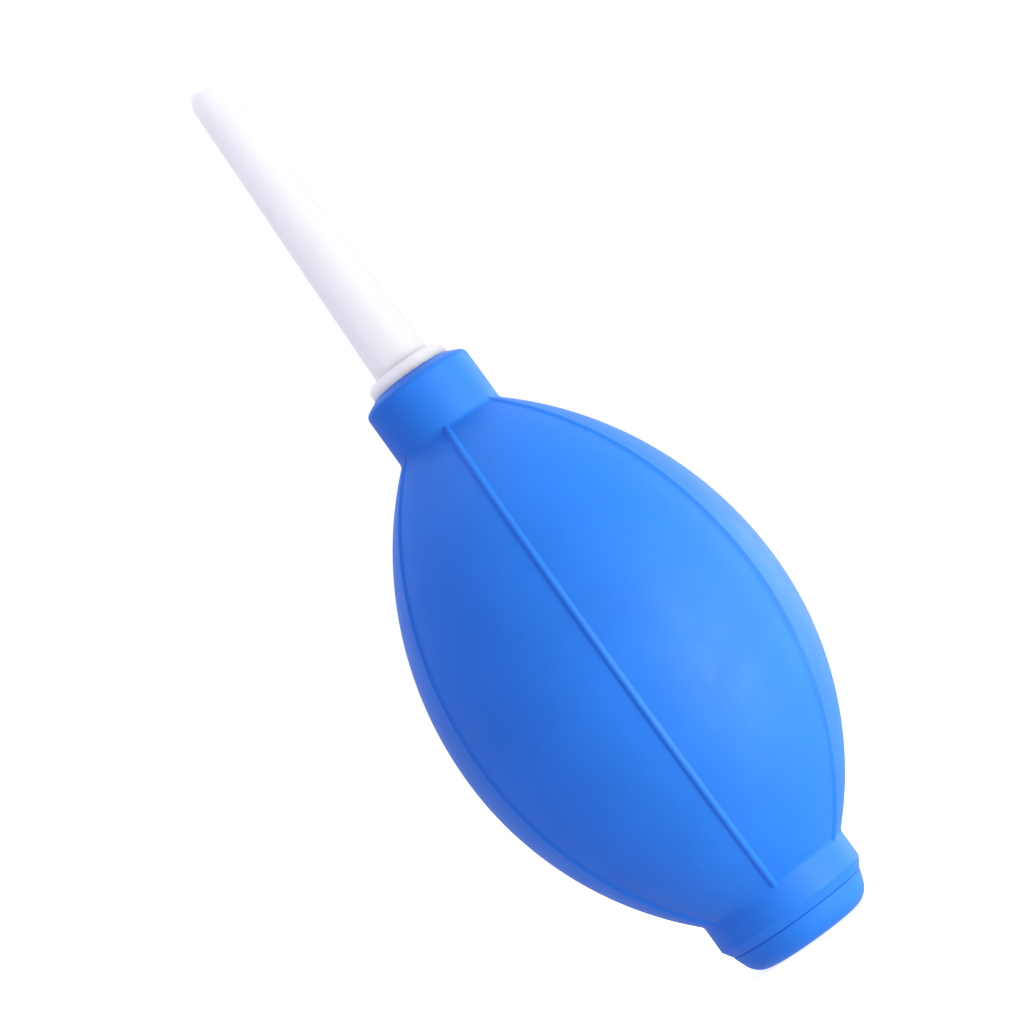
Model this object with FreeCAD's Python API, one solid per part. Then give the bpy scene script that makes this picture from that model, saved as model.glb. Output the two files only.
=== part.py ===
import FreeCAD, Part
import math
import os

# Dust blower bulb, in millimetres. +Z runs along the blower from its tail to its nozzle, and the origin is
# the middle of the flat tail face that it stands on. Every piece is round about the Z axis.

# Rubber bulb, outside
BULB_RADIUS = 27.5                # where the bulb is widest
BULB_TAIL_LENGTH = 37.2           # from the tail collar up to the widest place
BULB_FRONT_LENGTH = 42.1          # from the widest place up to the front collar
TAIL_COLLAR_RADIUS = 12.1
TAIL_COLLAR_LENGTH = 5.9
TAIL_CHAMFER_WIDTH = 0.95         # chamfer on the tail collar's lower edge, across
TAIL_CHAMFER_HEIGHT = 1.5         # and along the axis
FRONT_COLLAR_RADIUS = 8.75
FRONT_COLLAR_LENGTH = 9.9
FRONT_RIM_DROP = 1.2              # how far the rim slopes down from the nozzle's flange to the collar's side
FRONT_RIM_ROUNDING = 1.1          # where that slope turns into the side
COLLAR_FILLET = 1.0               # hollow corner where the bulb runs into a collar

# Rubber bulb, inside
BULB_WALL = 2.2
TAIL_BORE_RADIUS = 8.0            # the stopper's shank fills it
FRONT_BORE_RADIUS = 4.8           # the nozzle's spigot turns in it

# Ribs moulded along the bulb
RIB_COUNT = 6
FIRST_RIB_ANGLE = -90             # from +X: the first rib faces -Y
RIB_WIDTH = 1.05
RIB_HEIGHT = 0.35
RIB_RUN_IN = 1.0                  # how far a rib's ends run into the collars

# Nozzle
NOZZLE_LENGTH = 50.8              # from the top of its flange to its tip
NOZZLE_BASE_RADIUS = 4.5
NOZZLE_TIP_RADIUS = 3.2
NOZZLE_FILLET = 0.5               # hollow corner between the cone and the flange
TIP_LAND = 0.3                    # flat ring around the outlet
NOZZLE_FLANGE_RADIUS = 6.4
NOZZLE_FLANGE_HEIGHT = 2.0
NOZZLE_FLANGE_ROUNDING = 0.8
SPIGOT_LENGTH = 8.6
SPIGOT_CHAMFER = 0.5
OUTLET_RADIUS = 1.2
OUTLET_LENGTH = 12.0
INSIDE_RADIUS = 2.9               # the nozzle's bore at the spigot's lower end
BEAD_HEIGHT = 0.8                 # the ring on the spigot that keeps the nozzle in the rubber
BEAD_LENGTH = 1.6
BEAD_DEPTH = 4.0                  # from the rim down to the bead's upper side

# Tail stopper
FOOT_HEIGHT = 4.1                 # the part that shows below the tail collar
FOOT_TOP_RADIUS = 11.2
FOOT_LOW_RADIUS = 9.6             # where the foot's taper would meet the tail face without its rounding
FOOT_ROUNDING = 3.3
FOOT_TOP_ROUNDING = 0.2
INLET_RADIUS = 1.25
INLET_LENGTH = 3.5                # from the tail face up to the valve's pocket
BARB_HEIGHT = 1.0                 # the ring that holds the stopper behind the tail bore
BARB_LENGTH = 1.2
BARB_TAPER_LENGTH = 2.0
POCKET_RADIUS = 5.0
LIP_HEIGHT = 0.4                  # the stopper's inner lip that keeps the valve in its pocket
LIP_LENGTH = 1.0

# Inlet valve
SEAT_PLATE_THICKNESS = 2.0
SEAT_HOLE_RADIUS = 1.25
SEAT_RING_RADIUS = 2.5
SEAT_RING_HEIGHT = 0.5
DISC_RADIUS = 3.8
DISC_THICKNESS = 0.6
DISC_TRAVEL = 1.0                 # from the seat ring up to the cage's spokes
CAGE_WALL = 0.6
CAGE_TOP_THICKNESS = 1.0
CAGE_BOSS_RADIUS = 1.2
CAGE_SPOKE_WIDTH = 1.0
CAGE_SPOKE_COUNT = 4

# Fits
TURNING_CLEARANCE = 0.05          # all round between the nozzle and the rubber
SNAP_GAP = 0.1                    # between the stopper's barb and the rubber behind it

FULL_TURN = 360
UP = FreeCAD.Vector(0, 0, 1)
CENTRE = FreeCAD.Vector(0, 0, 0)

# Heights that follow from the sizes above
tail_collar_low = FOOT_HEIGHT
tail_collar_high = tail_collar_low + TAIL_COLLAR_LENGTH
widest = tail_collar_high + BULB_TAIL_LENGTH
front_collar_low = widest + BULB_FRONT_LENGTH
rim = front_collar_low + FRONT_COLLAR_LENGTH
flange_top = rim + NOZZLE_FLANGE_HEIGHT
tip = flange_top + NOZZLE_LENGTH
seat_top = INLET_LENGTH + SEAT_PLATE_THICKNESS
disc_low = seat_top + SEAT_RING_HEIGHT
spokes_low = disc_low + DISC_THICKNESS + DISC_TRAVEL
cage_top = spokes_low + CAGE_TOP_THICKNESS


class Outline:
    """A closed outline of lines and arcs in the half plane beside the axis, given as (radius, height)."""

    def __init__(self, radius, height):
        self.start = (radius, height)
        self.place = self.start
        self.edges = []

    def line(self, radius, height):
        self.edges.append(Part.makeLine(point(*self.place), point(radius, height)))
        self.place = (radius, height)

    def arc(self, centre, radius, height):
        """The shorter arc around a centre to a point as far from it as the last one."""
        size = math.dist(centre, self.place)
        middle_radius = (self.place[0] + radius) / 2 - centre[0]
        middle_height = (self.place[1] + height) / 2 - centre[1]
        stretch = size / math.hypot(middle_radius, middle_height)
        middle = point(centre[0] + middle_radius * stretch, centre[1] + middle_height * stretch)
        self.edges.append(Part.Arc(point(*self.place), middle, point(radius, height)).toShape())
        self.place = (radius, height)

    def corner(self, radius, height, ahead, rounding):
        """A line to a corner that is rounded, inside or out, towards the point ahead of it."""
        at = point(radius, height)
        back_along = (point(*self.place) - at).normalize()
        on_along = (point(*ahead) - at).normalize()
        half_angle = back_along.getAngle(on_along) / 2
        run = rounding / math.tan(half_angle)
        start = at + back_along * run
        end = at + on_along * run
        centre = at + (back_along + on_along).normalize() * (rounding / math.sin(half_angle))
        self.line(start.x, start.z)
        self.arc((centre.x, centre.z), end.x, end.z)

    def turned(self):
        """The solid of revolution inside the outline."""
        self.line(*self.start)
        face = Part.Face(Part.Wire(self.edges))
        return face.revolve(CENTRE, UP, FULL_TURN)


def point(radius, height):
    return FreeCAD.Vector(radius, 0, height)


def arc_radius(chord, height):
    """The radius of an arc that falls by height over a run of chord, measured from its level end."""
    return (chord ** 2 + height ** 2) / (2 * height)


class Shoulder:
    """Half of the bulb's side: one arc from the widest place to a collar, towards +Z (1) or -Z (-1)."""

    def __init__(self, collar_radius, length, direction):
        self.collar_radius = collar_radius
        self.direction = direction
        self.radius = arc_radius(length, BULB_RADIUS - collar_radius)
        self.centre = (BULB_RADIUS - self.radius, widest)

    def height_at(self, radius, inside):
        """Where the arc, drawn that far inside the outer side, is at a radius from the axis."""
        reach = math.sqrt((self.radius - inside) ** 2 - (radius - self.centre[0]) ** 2)
        return widest + self.direction * reach

    def fillet(self):
        """The collar fillet's centre, and the point where it runs into the arc."""
        centre = (self.collar_radius + COLLAR_FILLET,
                  self.height_at(self.collar_radius + COLLAR_FILLET, -COLLAR_FILLET))
        share = self.radius / (self.radius + COLLAR_FILLET)
        meet = [middle + (corner - middle) * share for middle, corner in zip(self.centre, centre)]
        return centre, meet


tail_shoulder = Shoulder(TAIL_COLLAR_RADIUS, BULB_TAIL_LENGTH, -1)
front_shoulder = Shoulder(FRONT_COLLAR_RADIUS, BULB_FRONT_LENGTH, 1)
tail_bore_end = tail_shoulder.height_at(TAIL_BORE_RADIUS, BULB_WALL)
front_bore_end = front_shoulder.height_at(FRONT_BORE_RADIUS, BULB_WALL)


def bulb_side(outline):
    """The bulb's outer side, from the chamfered tail collar to the front rim."""
    tail_corner, tail_meet = tail_shoulder.fillet()
    front_corner, front_meet = front_shoulder.fillet()
    outline.line(TAIL_COLLAR_RADIUS - TAIL_CHAMFER_WIDTH, tail_collar_low)
    outline.line(TAIL_COLLAR_RADIUS, tail_collar_low + TAIL_CHAMFER_HEIGHT)
    outline.line(TAIL_COLLAR_RADIUS, tail_corner[1])
    outline.arc(tail_corner, *tail_meet)
    outline.arc(tail_shoulder.centre, BULB_RADIUS, widest)
    outline.arc(front_shoulder.centre, *front_meet)
    outline.arc(front_corner, FRONT_COLLAR_RADIUS, front_corner[1])
    flange_edge = (NOZZLE_FLANGE_RADIUS, rim)
    outline.corner(FRONT_COLLAR_RADIUS, rim - FRONT_RIM_DROP, flange_edge, FRONT_RIM_ROUNDING)
    outline.line(*flange_edge)


def bulb_inside(outline):
    """The front bore with its bead groove, the hollow, and the tail bore."""
    groove_top = rim - BEAD_DEPTH + TURNING_CLEARANCE
    groove_low = rim - BEAD_DEPTH - BEAD_LENGTH - TURNING_CLEARANCE
    groove_radius = FRONT_BORE_RADIUS + BEAD_HEIGHT
    outline.line(FRONT_BORE_RADIUS, rim)
    outline.line(FRONT_BORE_RADIUS, groove_top)
    outline.line(groove_radius, groove_top)
    outline.line(groove_radius, groove_low)
    outline.line(FRONT_BORE_RADIUS, groove_low)
    outline.line(FRONT_BORE_RADIUS, front_bore_end)
    outline.arc(front_shoulder.centre, BULB_RADIUS - BULB_WALL, widest)
    outline.arc(tail_shoulder.centre, TAIL_BORE_RADIUS, tail_bore_end)


def rib_half(shoulder):
    """A round bead sunk into one half of the bulb's side, in the XZ plane."""
    round_radius = arc_radius(RIB_WIDTH / 2, RIB_HEIGHT)
    path_radius = shoulder.radius + RIB_HEIGHT - round_radius
    collar_reach = abs(shoulder.height_at(shoulder.collar_radius, 0) - widest)
    turn = math.degrees(math.asin(collar_reach / shoulder.radius) + RIB_RUN_IN / shoulder.radius)
    middle = point(shoulder.centre[0] + path_radius, widest)
    section = Part.Face(Part.Wire(Part.makeCircle(round_radius, middle, UP)))
    turning_axis = FreeCAD.Vector(0, -shoulder.direction, 0)
    return section.revolve(point(*shoulder.centre), turning_axis, turn)


def bulb():
    outline = Outline(TAIL_BORE_RADIUS, tail_collar_low)
    bulb_side(outline)
    bulb_inside(outline)
    ribs = []
    for number in range(RIB_COUNT):
        for shoulder in (tail_shoulder, front_shoulder):
            rib = rib_half(shoulder)
            rib.rotate(CENTRE, UP, FIRST_RIB_ANGLE + number * FULL_TURN / RIB_COUNT)
            ribs.append(rib)
    return outline.turned().fuse(ribs).removeSplitter()


def nozzle():
    """The tapered nozzle with its flange, its spigot and the bead that turns in the rubber groove."""
    spigot_radius = FRONT_BORE_RADIUS - TURNING_CLEARANCE
    bead_radius = spigot_radius + BEAD_HEIGHT
    bead_top = rim - BEAD_DEPTH
    bead_low = bead_top - BEAD_LENGTH
    spigot_low = rim - SPIGOT_LENGTH
    lip_radius = OUTLET_RADIUS + TIP_LAND
    dome_low = tip - math.sqrt(NOZZLE_TIP_RADIUS ** 2 - lip_radius ** 2)
    cone_base = (NOZZLE_BASE_RADIUS, flange_top)
    cone_top = (NOZZLE_TIP_RADIUS, dome_low)
    outline = Outline(INSIDE_RADIUS, spigot_low)
    outline.line(spigot_radius - SPIGOT_CHAMFER, spigot_low)
    outline.line(spigot_radius, spigot_low + SPIGOT_CHAMFER)
    outline.line(spigot_radius, bead_low)
    outline.line(bead_radius, bead_low + BEAD_HEIGHT)
    outline.line(bead_radius, bead_top)
    outline.line(spigot_radius, bead_top)
    outline.line(spigot_radius, rim)
    outline.line(NOZZLE_FLANGE_RADIUS, rim)
    outline.corner(NOZZLE_FLANGE_RADIUS, flange_top, cone_base, NOZZLE_FLANGE_ROUNDING)
    outline.corner(*cone_base, cone_top, NOZZLE_FILLET)
    outline.line(*cone_top)
    outline.arc((0, dome_low), lip_radius, tip)
    outline.line(OUTLET_RADIUS, tip)
    outline.line(OUTLET_RADIUS, tip - OUTLET_LENGTH)
    return outline.turned()


def tail_plug():
    """The rubber stopper: a foot that shows, a shank that fills the tail bore, and a barb behind it."""
    foot_edge = (FOOT_TOP_RADIUS, FOOT_HEIGHT)
    shank_low = (TAIL_BORE_RADIUS, FOOT_HEIGHT)
    barb_low = tail_bore_end + SNAP_GAP
    barb_radius = TAIL_BORE_RADIUS + BARB_HEIGHT
    barb_top = barb_low + BARB_HEIGHT + BARB_LENGTH
    plug_top = max(barb_top + BARB_TAPER_LENGTH, cage_top + LIP_LENGTH)
    lip_radius = POCKET_RADIUS - LIP_HEIGHT
    outline = Outline(INLET_RADIUS, 0)
    outline.corner(FOOT_LOW_RADIUS, 0, foot_edge, FOOT_ROUNDING)
    outline.corner(*foot_edge, shank_low, FOOT_TOP_ROUNDING)
    outline.line(*shank_low)
    outline.line(TAIL_BORE_RADIUS, barb_low)
    outline.line(barb_radius, barb_low + BARB_HEIGHT)
    outline.line(barb_radius, barb_top)
    outline.line(TAIL_BORE_RADIUS, plug_top)
    outline.line(lip_radius, plug_top)
    outline.line(lip_radius, cage_top)
    outline.line(POCKET_RADIUS, cage_top)
    outline.line(POCKET_RADIUS, INLET_LENGTH)
    outline.line(INLET_RADIUS, INLET_LENGTH)
    return outline.turned()


def valve_seat():
    """The plate on the pocket's floor, with a raised ring around its hole."""
    outline = Outline(SEAT_HOLE_RADIUS, INLET_LENGTH)
    outline.line(POCKET_RADIUS, INLET_LENGTH)
    outline.line(POCKET_RADIUS, seat_top)
    outline.line(SEAT_RING_RADIUS, seat_top)
    outline.line(SEAT_RING_RADIUS, disc_low)
    outline.line(SEAT_HOLE_RADIUS, disc_low)
    return outline.turned()


def valve_disc():
    return Part.makeCylinder(DISC_RADIUS, DISC_THICKNESS, point(0, disc_low))


def valve_cage():
    """A ring that stands on the seat's plate, with a boss on spokes that stops the disc."""
    ring_height = cage_top - seat_top
    ring = Part.makeCylinder(POCKET_RADIUS, ring_height, point(0, seat_top))
    ring = ring.cut(Part.makeCylinder(POCKET_RADIUS - CAGE_WALL, ring_height, point(0, seat_top)))
    pieces = [Part.makeCylinder(CAGE_BOSS_RADIUS, CAGE_TOP_THICKNESS, point(0, spokes_low))]
    for number in range(CAGE_SPOKE_COUNT):
        corner = FreeCAD.Vector(0, -CAGE_SPOKE_WIDTH / 2, spokes_low)
        spoke = Part.makeBox(POCKET_RADIUS - CAGE_WALL / 2, CAGE_SPOKE_WIDTH, CAGE_TOP_THICKNESS, corner)
        spoke.rotate(CENTRE, UP, number * FULL_TURN / CAGE_SPOKE_COUNT)
        pieces.append(spoke)
    return ring.fuse(pieces).removeSplitter()


os.makedirs("parts", exist_ok=True)
for make in (bulb, nozzle, tail_plug, valve_seat, valve_disc, valve_cage):
    shape = make()
    if not shape.isValid() or len(shape.Solids) != 1:
        raise ValueError(f"{make.__name__} isn't one sound solid")
    shape.Solids[0].exportStep(f"parts/{make.__name__}.step")
    print(make.__name__, round(shape.Volume, 1), "mm3")
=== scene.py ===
import math
import bpy
import numpy as np
from mathutils import Matrix, Vector


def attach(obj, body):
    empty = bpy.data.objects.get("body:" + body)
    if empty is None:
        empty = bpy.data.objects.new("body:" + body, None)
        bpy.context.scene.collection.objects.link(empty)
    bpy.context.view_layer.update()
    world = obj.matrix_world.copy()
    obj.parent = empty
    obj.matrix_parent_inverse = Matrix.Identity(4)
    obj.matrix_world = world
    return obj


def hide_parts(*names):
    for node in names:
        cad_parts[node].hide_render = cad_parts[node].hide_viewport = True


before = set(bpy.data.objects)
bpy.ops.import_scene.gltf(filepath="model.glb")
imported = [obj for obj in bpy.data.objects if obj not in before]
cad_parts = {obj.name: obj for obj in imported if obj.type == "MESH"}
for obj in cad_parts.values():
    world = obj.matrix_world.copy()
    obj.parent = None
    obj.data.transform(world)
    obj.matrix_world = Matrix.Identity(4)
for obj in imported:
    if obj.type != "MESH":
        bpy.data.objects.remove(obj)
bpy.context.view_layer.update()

# Sizes are in millimetres here. They are turned into metres where a mesh, a material, a light or the camera
# is made.
MM = 0.001

# The bulb, as in the CAD part
BULB_RADIUS = 27.5
WIDEST = 47.2
WALL = 2.2
TAIL_COLLAR_RADIUS = 12.1
TAIL_COLLAR_LOW = 4.1
TAIL_COLLAR_HIGH = 10.0
TAIL_CHAMFER = (0.95, 1.5)
TAIL_BORE_RADIUS = 8.0
FRONT_COLLAR_RADIUS = 8.75
FRONT_COLLAR_LOW = 89.3
RIM = 99.2
RIM_DROP = 1.2                    # from the nozzle's flange down to the collar's side
RIM_ROUNDING = 1.1
FLANGE_RADIUS = 6.4
FRONT_BORE_RADIUS = 4.8
GROOVE = (93.55, 95.25, 5.6)      # low, high, radius
COLLAR_FILLET = 1.0
EDGE_ROUNDING = 0.25

# Its ribs
RIB_COUNT = 6
FIRST_RIB = -90.0
RIB_WIDTH = 1.05
RIB_HEIGHT = 0.35
RIB_BEAD_RADIUS = ((RIB_WIDTH / 2) ** 2 + RIB_HEIGHT ** 2) / (2 * RIB_HEIGHT)
RIB_ROOT = 0.10                   # how softly a rib's flanks and ends run into the bulb

# Mesh fineness
RIB_BAND = 1.0                    # half the strip beside a rib that gets narrow columns
BAND_COLUMNS = 16
OPEN_COLUMNS = 12
ROUND_COLUMNS = 160
OUTER_STEP = 0.5
EDGE_STEP = 0.25                  # on the straight stretches beside the bulb's edges
FINE_STEP = 0.12                  # round the collar fillets and the nozzle's tip
INNER_STEP = 1.6
NOZZLE_STEP = 1.0
STOPPER_STEP = 0.8
STEPS_PER_ROUNDING = 6            # in a stretch as long as the rounding's radius
SHARP_DEGREES = 35                # an edge that turns more than this is shaded sharp


def arc(centre, start, end, step):
    """Points along the shorter arc from start to end, both included."""
    first = math.atan2(start[1] - centre[1], start[0] - centre[0])
    turn = math.atan2(end[1] - centre[1], end[0] - centre[0]) - first
    turn = (turn + math.pi) % (2 * math.pi) - math.pi
    size = math.dist(centre, start)
    count = max(2, math.ceil(abs(turn) * size / step))
    angles = [first + turn * n / count for n in range(count + 1)]
    return [(centre[0] + size * math.cos(a), centre[1] + size * math.sin(a)) for a in angles]


def line(start, end, step):
    count = max(1, math.ceil(math.dist(start, end) / step))
    return [tuple(np.add(start, np.subtract(end, start) * n / count)) for n in range(count + 1)]


def rounded(corners, step):
    """A line through corners (radius, height, rounding). The first and last corner stay sharp."""
    points = [corners[0][:2]]
    for before, corner, after in zip(corners, corners[1:], corners[2:]):
        at = np.array(corner[:2])
        if corner[2] == 0:
            points += line(points[-1], tuple(at), step)[1:]
            continue
        back = np.subtract(before[:2], at) / math.dist(before[:2], at)
        ahead = np.subtract(after[:2], at) / math.dist(after[:2], at)
        half = math.acos(np.clip(back @ ahead, -1, 1)) / 2
        run = corner[2] / math.tan(half)
        middle = at + (back + ahead) / np.linalg.norm(back + ahead) * corner[2] / math.sin(half)
        points += line(points[-1], tuple(at + back * run), step)[1:]
        step_round = corner[2] / STEPS_PER_ROUNDING
        points += arc(tuple(middle), tuple(at + back * run), tuple(at + ahead * run), step_round)[1:]
    return points + line(points[-1], corners[-1][:2], step)[1:]


def make_mesh(name, vertices, faces):
    mesh = bpy.data.meshes.new(name)
    mesh.from_pydata([tuple(v * MM for v in p) for p in vertices], [], faces)
    mesh.update()
    mesh.shade_smooth()
    mesh.set_sharp_from_angle(angle=math.radians(SHARP_DEGREES))
    piece = bpy.data.objects.new(name, mesh)
    bpy.context.scene.collection.objects.link(piece)
    return piece


def ring_faces(rows, columns):
    """Quads over rows and columns that both close on themselves.

    They face out of the solid when the rows go up its outside and down its inside.
    """
    return [
        (i * columns + j, i * columns + (j + 1) % columns,
         (i + 1) % rows * columns + (j + 1) % columns, (i + 1) % rows * columns + j)
        for i in range(rows) for j in range(columns)
    ]


def lathe(name, loop):
    """A closed loop of (radius, height), up the outside and down the inside, turned about the Z axis."""
    angles = np.arange(ROUND_COLUMNS) * 2 * math.pi / ROUND_COLUMNS
    vertices = [(r * math.cos(a), r * math.sin(a), z) for r, z in loop for a in angles]
    return make_mesh(name, vertices, ring_faces(len(loop), ROUND_COLUMNS))


class Side:
    """One half of the bulb's side: an arc from the widest place to a collar, towards +Z (1) or -Z (-1)."""

    def __init__(self, collar_radius, collar_height, direction):
        self.collar_radius = collar_radius
        self.direction = direction
        run = abs(collar_height - WIDEST)
        drop = BULB_RADIUS - collar_radius
        self.radius = (run ** 2 + drop ** 2) / (2 * drop)
        self.centre = (BULB_RADIUS - self.radius, WIDEST)

    def height_at(self, radius, inside):
        reach = math.sqrt((self.radius - inside) ** 2 - (radius - self.centre[0]) ** 2)
        return WIDEST + self.direction * reach

    def outward(self, radius, height):
        """The direction straight out of the arc at a point, and how far outside the arc the point is."""
        way = np.subtract((radius, height), self.centre)
        reach = np.linalg.norm(way)
        return way / reach, reach - self.radius

    def fillet(self):
        """The fillet beside the collar, from the arc to the collar's wall."""
        x = self.collar_radius + COLLAR_FILLET
        middle = (x, self.height_at(x, -COLLAR_FILLET))
        share = self.radius / (self.radius + COLLAR_FILLET)
        meet = tuple(c + (m - c) * share for c, m in zip(self.centre, middle))
        return arc(middle, meet, (self.collar_radius, middle[1]), FINE_STEP)


tail = Side(TAIL_COLLAR_RADIUS, TAIL_COLLAR_HIGH, -1)
front = Side(FRONT_COLLAR_RADIUS, FRONT_COLLAR_LOW, 1)


def outer_side():
    """The bulb's outer side from the tail bore's edge to the front bore's edge."""
    tail_fillet, front_fillet = tail.fillet()[::-1], front.fillet()
    chamfer_low = (TAIL_COLLAR_RADIUS - TAIL_CHAMFER[0], TAIL_COLLAR_LOW)
    chamfer_high = (TAIL_COLLAR_RADIUS, TAIL_COLLAR_LOW + TAIL_CHAMFER[1])
    points = rounded([
        (TAIL_BORE_RADIUS, TAIL_COLLAR_LOW, 0),
        (*chamfer_low, EDGE_ROUNDING),
        (*chamfer_high, EDGE_ROUNDING),
        (*tail_fillet[0], 0),
    ], EDGE_STEP)
    points += tail_fillet[1:]
    points += arc(tail.centre, tail_fillet[-1], (BULB_RADIUS, WIDEST), OUTER_STEP)[1:]
    points += arc(front.centre, (BULB_RADIUS, WIDEST), front_fillet[0], OUTER_STEP)[1:]
    points += front_fillet[1:]
    points += rounded([
        (*front_fillet[-1], 0),
        (FRONT_COLLAR_RADIUS, RIM - RIM_DROP, RIM_ROUNDING),
        (FLANGE_RADIUS, RIM, 0.1),
        (FRONT_BORE_RADIUS, RIM, 0),
    ], EDGE_STEP)[1:]
    return points


def inner_side():
    """Down the front bore with its groove, through the hollow and down the tail bore."""
    groove_low, groove_high, groove_radius = GROOVE
    front_end = (FRONT_BORE_RADIUS, front.height_at(FRONT_BORE_RADIUS, WALL))
    tail_end = (TAIL_BORE_RADIUS, tail.height_at(TAIL_BORE_RADIUS, WALL))
    widest = (BULB_RADIUS - WALL, WIDEST)
    points = rounded([
        (FRONT_BORE_RADIUS, RIM, 0),
        (FRONT_BORE_RADIUS, groove_high, 0),
        (groove_radius, groove_high, 0),
        (groove_radius, groove_low, 0),
        (FRONT_BORE_RADIUS, groove_low, 0),
        (*front_end, 0),
    ], INNER_STEP)
    points += arc(front.centre, front_end, widest, INNER_STEP)[1:]
    points += arc(tail.centre, widest, tail_end, INNER_STEP)[1:]
    points += line(tail_end, (TAIL_BORE_RADIUS, TAIL_COLLAR_LOW), INNER_STEP)[1:]
    return points[1:-1]


def rib_lift(across, radius, lean, outside):
    """How far a rib's round bead stands over the rubber, that far across from the rib's middle.

    The bead follows the bulb's arc. Where the rubber is outside the arc, on a collar, the bead sinks into it.
    """
    bead = RIB_HEIGHT - RIB_BEAD_RADIUS + np.sqrt(np.maximum(RIB_BEAD_RADIUS ** 2 - across ** 2, 0))
    skin = lean * (np.sqrt(radius ** 2 - across ** 2) - radius) + outside
    over = bead - skin
    return np.maximum(over, 0) + RIB_ROOT * np.maximum(1 - np.abs(over) / RIB_ROOT, 0) ** 2 / 4


def bulb_skin():
    outer = outer_side()
    inner = inner_side()
    vertices = []
    shares = np.linspace(-1, 1, BAND_COLUMNS + 1)
    gaps = np.arange(1, OPEN_COLUMNS) / OPEN_COLUMNS
    half_turn = math.pi / RIB_COUNT
    starts = [math.radians(FIRST_RIB) + n * 2 * half_turn for n in range(RIB_COUNT)]
    across = RIB_BAND * shares
    for number, (r, z) in enumerate([*outer, *inner]):
        edge = math.asin(RIB_BAND / r)
        near = np.arcsin(across / r)
        between = edge + gaps * 2 * (half_turn - edge)
        way, outside = (front if z > WIDEST else tail).outward(r, z)
        lift = rib_lift(across, r, way[0], outside) if number < len(outer) else np.zeros(len(shares))
        for start in starts:
            turned = np.r_[near, between] + start
            ring = np.stack([r * np.cos(turned), r * np.sin(turned), np.full(len(turned), z)], axis=1)
            straight = np.array([math.cos(start) * way[0], math.sin(start) * way[0], way[1]])
            ring[:len(near)] += lift[:, None] * straight
            vertices += ring.tolist()
    columns = RIB_COUNT * (len(shares) + len(gaps))
    return make_mesh("bulb_skin", vertices, ring_faces(len(outer) + len(inner), columns))


def nozzle_skin():
    low, flange_top, tip = 90.6, 101.2, 152.0
    spigot, base, tip_radius, lip = 4.75, 4.5, 3.2, 1.5
    bead, bead_low, bead_edge, bead_high = 5.55, 93.6, 94.4, 95.2
    inside, outlet, outlet_length = 2.9, 1.2, 12.0
    dome_low = tip - math.sqrt(tip_radius ** 2 - lip ** 2)
    loop = rounded([
        (inside, low, 0),
        (spigot, low, 0.4),
        (spigot, bead_low, 0),
        (bead, bead_edge, 0.1),
        (bead, bead_high, 0.1),
        (spigot, bead_high, 0),
        (spigot, RIM, 0),
        (FLANGE_RADIUS, RIM, 0.15),
        (FLANGE_RADIUS, flange_top, 0.8),
        (base, flange_top, 0.5),
        (tip_radius, dome_low, 0),
    ], NOZZLE_STEP)
    loop += arc((0, dome_low), (tip_radius, dome_low), (lip, tip), FINE_STEP)[1:]
    loop += rounded([
        (lip, tip, 0),
        (outlet, tip, 0.1),
        (outlet, tip - outlet_length, 0),
        (inside, low, 0),
    ], NOZZLE_STEP)[1:-1]
    return lathe("nozzle_skin", loop)


def stopper_skin():
    inlet, floor_top, pocket, lip, cage_top = 1.25, 3.5, 5.0, 4.6, 8.6
    foot_low, foot_rounding, foot_top = 9.6, 3.3, 11.2
    shank, barb = TAIL_BORE_RADIUS, 9.0
    clearance = 0.1
    barb_low = tail.height_at(TAIL_BORE_RADIUS, WALL) + clearance
    barb_edge, barb_high, top = barb_low + 1.0, barb_low + 2.2, barb_low + 4.2
    loop = rounded([
        (inlet, 0, 0),
        (foot_low, 0, foot_rounding),
        (foot_top, TAIL_COLLAR_LOW, EDGE_ROUNDING),
        (shank, TAIL_COLLAR_LOW, 0),
        (shank, barb_low, 0),
        (barb, barb_edge, 0.2),
        (barb, barb_high, 0.4),
        (shank, top, 0.3),
        (lip, top, 0.3),
        (lip, cage_top, 0),
        (pocket, cage_top, 0),
        (pocket, floor_top, 0),
        (inlet, floor_top, 0),
        (inlet, 0, 0),
    ], STOPPER_STEP)[:-1]
    return lathe("stopper_skin", loop)


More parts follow.
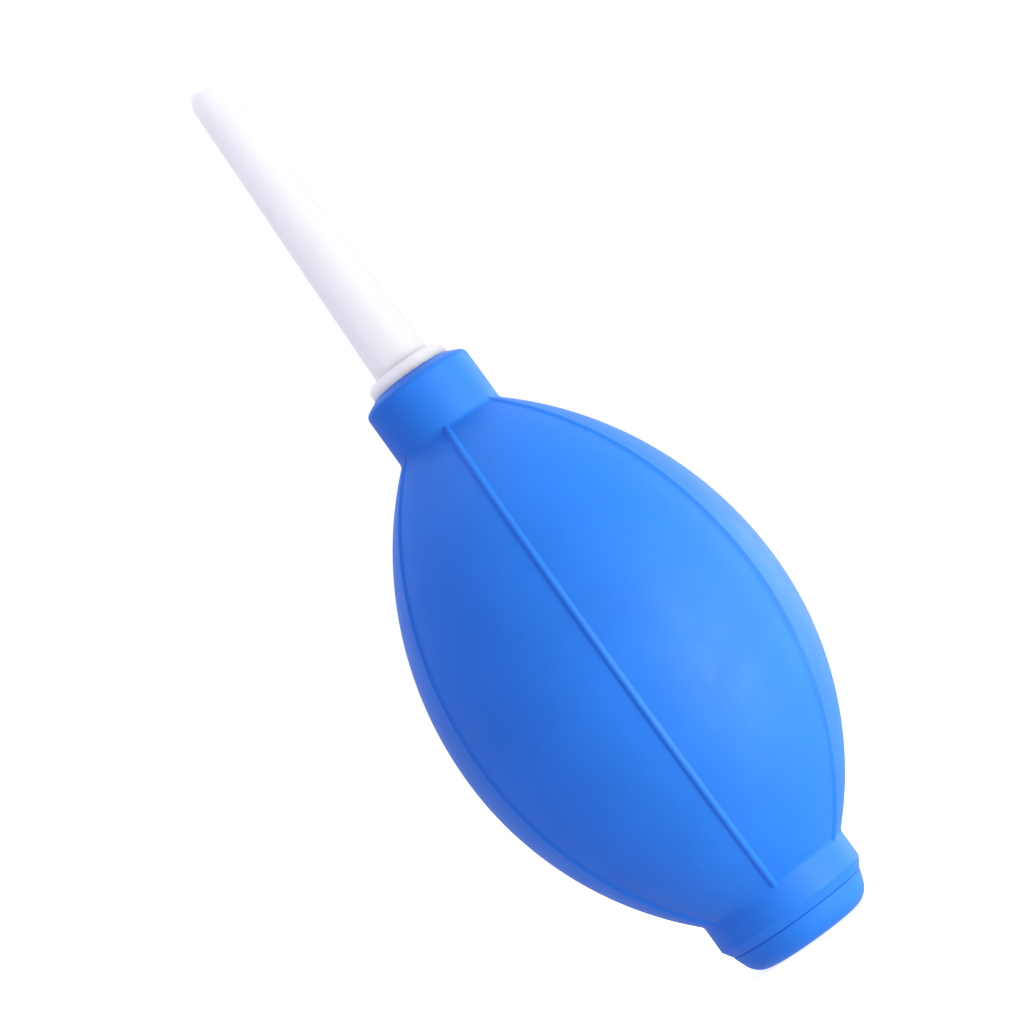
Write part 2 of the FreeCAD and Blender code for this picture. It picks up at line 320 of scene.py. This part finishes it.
class Look:
    """A material built from nodes around one Principled shader."""

    def __init__(self, name, **settings):
        self.material = bpy.data.materials.new(name)
        self.material.use_nodes = True
        self.nodes = self.material.node_tree.nodes
        self.shader = self.nodes["Principled BSDF"]
        self.place = self.nodes.new("ShaderNodeTexCoord").outputs["Object"]
        self.bump = None
        for socket, value in settings.items():
            self.shader.inputs[socket.replace("_", " ")].default_value = value

    def join(self, output, socket):
        self.material.node_tree.links.new(output, socket)

    def noise(self, size_mm, detail=3.0, stretch=(1, 1, 1)):
        """A noise pattern with features of that size, as a value from 0 to 1."""
        scaling = self.nodes.new("ShaderNodeMapping")
        scaling.inputs["Scale"].default_value = stretch
        self.join(self.place, scaling.inputs["Vector"])
        pattern = self.nodes.new("ShaderNodeTexNoise")
        pattern.inputs["Scale"].default_value = 1 / (size_mm * MM)
        pattern.inputs["Detail"].default_value = detail
        self.join(scaling.outputs["Vector"], pattern.inputs["Vector"])
        return pattern.outputs["Fac"]

    def spread(self, pattern, low, high):
        """Turns the middle of a pattern's range into low to high."""
        mapped = self.nodes.new("ShaderNodeMapRange")
        mapped.inputs["From Min"].default_value = 0.3
        mapped.inputs["From Max"].default_value = 0.7
        mapped.inputs["To Min"].default_value = low
        mapped.inputs["To Max"].default_value = high
        self.join(pattern, mapped.inputs["Value"])
        return mapped.outputs["Result"]

    def tint(self, pattern, first, second):
        """The base colour runs from first to second with a pattern."""
        mix = self.nodes.new("ShaderNodeMix")
        mix.data_type = "RGBA"
        mix.inputs["A"].default_value = (*first, 1)
        mix.inputs["B"].default_value = (*second, 1)
        self.join(self.spread(pattern, 0, 1), mix.inputs["Factor"])
        self.join(mix.outputs["Result"], self.shader.inputs["Base Color"])

    def polish(self, pattern, roughness):
        """The roughness wavers a little round a value with a pattern."""
        self.join(self.spread(pattern, roughness - 0.04, roughness + 0.05), self.shader.inputs["Roughness"])

    def grain(self, pattern, height_mm):
        """Adds a bump of that height over those before it."""
        bump = self.nodes.new("ShaderNodeBump")
        bump.inputs["Distance"].default_value = height_mm * MM
        self.join(pattern, bump.inputs["Height"])
        if self.bump:
            self.join(self.bump, bump.inputs["Normal"])
        self.bump = bump.outputs["Normal"]
        self.join(self.bump, self.shader.inputs["Normal"])


def rubber(name, first, second, roughness):
    look = Look(name, Specular_IOR_Level=0.32, Sheen_Weight=0.08, Sheen_Roughness=0.35)
    look.tint(look.noise(11, 2.0), first, second)
    look.polish(look.noise(4), roughness)
    look.grain(look.noise(6, 2.0), 0.03)
    look.grain(look.noise(0.5), 0.006)
    return look.material


PLASTIC_DEPTH = 5.0               # how far light runs inside the translucent white plastic


def plastic(name, first, second, roughness):
    look = Look(name, Subsurface_Weight=1.0, Subsurface_Radius=(1, 1, 1), Subsurface_Scale=PLASTIC_DEPTH * MM)
    look.tint(look.noise(7, 2.0, (1, 1, 0.3)), first, second)
    look.polish(look.noise(3), roughness)
    look.grain(look.noise(0.4), 0.003)
    return look.material


BLUE = ((0.0095, 0.154, 0.690), (0.0105, 0.165, 0.738))
WHITE = ((0.855, 0.855, 0.865), (0.875, 0.875, 0.885))
PALE_GREY = ((0.74, 0.74, 0.75), (0.80, 0.80, 0.80))
GREY = ((0.40, 0.40, 0.42), (0.46, 0.46, 0.48))

bulb = bulb_skin()
bulb.data.materials.append(rubber("blue_rubber_look", *BLUE, 0.6))
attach(bulb, "bulb")
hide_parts("bulb")

stopper = stopper_skin()
stopper.data.materials.append(rubber("plug_rubber_look", *BLUE, 0.62))
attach(stopper, "bulb")
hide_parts("tail_plug")

nozzle = nozzle_skin()
nozzle.data.materials.append(plastic("nozzle_plastic_look", *WHITE, 0.38))
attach(nozzle, "nozzle")
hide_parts("nozzle")

valve_look = plastic("valve_plastic_look", *PALE_GREY, 0.42)
disc_look = rubber("disc_rubber_look", *GREY, 0.6)
for node, look in (("valve_seat", valve_look), ("valve_cage", valve_look), ("valve_disc", disc_look)):
    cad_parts[node].data.materials.clear()
    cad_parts[node].data.materials.append(look)

# Floor: from above the camera sees it pale, with the shadow that falls on it. From below the camera sees
# through it, and all other light passes through it too.
FLOOR_RADIUS = 3000
FLOOR_SIDES = 64
floor_angles = np.linspace(0, 2 * math.pi, FLOOR_SIDES, endpoint=False)
floor_rim = [(FLOOR_RADIUS * MM * math.cos(a), FLOOR_RADIUS * MM * math.sin(a), 0) for a in floor_angles]
floor_mesh = bpy.data.meshes.new("floor")
floor_mesh.from_pydata(floor_rim, [], [tuple(range(FLOOR_SIDES))])
floor = bpy.data.objects.new("floor", floor_mesh)
bpy.context.scene.collection.objects.link(floor)
pale = Look(
    "floor_look", Base_Color=(0.8, 0.8, 0.8, 1), Roughness=1.0,
    Emission_Color=(1, 1, 1, 1), Emission_Strength=0.7,
)
seen = pale.nodes.new("ShaderNodeMixShader")
from_above = pale.nodes.new("ShaderNodeMath")
from_above.operation = "SUBTRACT"
from_above.use_clamp = True
pale.join(pale.nodes.new("ShaderNodeLightPath").outputs["Is Camera Ray"], from_above.inputs[0])
pale.join(pale.nodes.new("ShaderNodeNewGeometry").outputs["Backfacing"], from_above.inputs[1])
pale.join(from_above.outputs["Value"], seen.inputs["Fac"])
pale.join(pale.nodes.new("ShaderNodeBsdfTransparent").outputs["BSDF"], seen.inputs[1])
pale.join(pale.shader.outputs["BSDF"], seen.inputs[2])
pale.join(seen.outputs["Shader"], pale.nodes["Material Output"].inputs["Surface"])
floor_mesh.materials.append(pale.material)

# Light
AIM = Vector((0, 0, 70)) * MM


def soft_light(name, place_mm, size_mm, watts, colour, only=()):
    """A round soft light that points at the blower. With only, it lights those objects and no others."""
    light = bpy.data.lights.new(name, "AREA")
    light.shape = "DISK"
    light.size = size_mm * MM
    light.energy = watts
    light.color = colour
    lamp = bpy.data.objects.new(name, light)
    lamp.location = Vector(place_mm) * MM
    lamp.rotation_euler = (AIM - lamp.location).to_track_quat("-Z", "Y").to_euler()
    bpy.context.scene.collection.objects.link(lamp)
    if only:
        lit = bpy.data.collections.new(name + "_lit")
        for piece in only:
            lit.objects.link(piece)
        lamp.light_linking.receiver_collection = lit


KEY_PLACE = (620, -420, -130)
WARM = (1.0, 0.98, 0.90)
blue_and_floor = (bulb, stopper, floor)
soft_light("key", KEY_PLACE, 600, 8.6, (1.0, 0.98, 0.67), only=blue_and_floor)
soft_light("nozzle_key", KEY_PLACE, 600, 4.3, (1.0, 0.98, 0.80), only=(nozzle,))
soft_light("nozzle_fill", (-560, -480, 60), 600, 1.25, (1.0, 0.99, 0.97), only=(nozzle,))
soft_light("top", (0, 250, 720), 400, 2.6, WARM)
soft_light("edge", (520, 420, 50), 400, 1.7, WARM, only=blue_and_floor)

# Surroundings: a dim bluish room for the pieces, and white where the camera looks past them
world = bpy.data.worlds.new("studio")
world.use_nodes = True
nodes = world.node_tree.nodes
links = world.node_tree.links
ambient = nodes["Background"]
ambient.inputs["Color"].default_value = (0.86, 0.84, 1.0, 1)
ambient.inputs["Strength"].default_value = 0.80
backdrop = nodes.new("ShaderNodeBackground")
backdrop.inputs["Color"].default_value = (1, 1, 1, 1)
backdrop.inputs["Strength"].default_value = 1.05
path = nodes.new("ShaderNodeLightPath")
mixed = nodes.new("ShaderNodeMixShader")
links.new(path.outputs["Is Camera Ray"], mixed.inputs["Fac"])
links.new(ambient.outputs["Background"], mixed.inputs[1])
links.new(backdrop.outputs["Background"], mixed.inputs[2])
links.new(mixed.outputs["Shader"], nodes["World Output"].inputs["Surface"])
bpy.context.scene.world = world
bpy.context.scene.view_settings.view_transform = "Standard"

# Camera: in front of the blower, a little above its middle, tilted so that the blower lies aslant
CAMERA_PLACE = Vector((0.43, -485, 42.3)) * MM
CAMERA_TURN = math.radians(1.5)   # round the blower's axis: the front rib is a little left of the middle
CAMERA_PITCH = math.radians(3.82)
CAMERA_ROLL = math.radians(35.75)
LENS = 117.95

camera_data = bpy.data.cameras.new("camera")
camera_data.lens = LENS
camera_data.sensor_width = 36
camera = bpy.data.objects.new("camera", camera_data)
bpy.context.scene.collection.objects.link(camera)
ahead = Vector((0, math.cos(CAMERA_PITCH), math.sin(CAMERA_PITCH)))
upright = Vector((0, -math.sin(CAMERA_PITCH), math.cos(CAMERA_PITCH)))
level = Vector((1, 0, 0))
across = level * math.cos(CAMERA_ROLL) - upright * math.sin(CAMERA_ROLL)
upward = level * math.sin(CAMERA_ROLL) + upright * math.cos(CAMERA_ROLL)
aim = Matrix.Translation(CAMERA_PLACE) @ Matrix((across, upward, -ahead)).transposed().to_4x4()
camera.matrix_world = Matrix.Rotation(CAMERA_TURN, 4, "Z") @ aim
bpy.context.scene.camera = camera
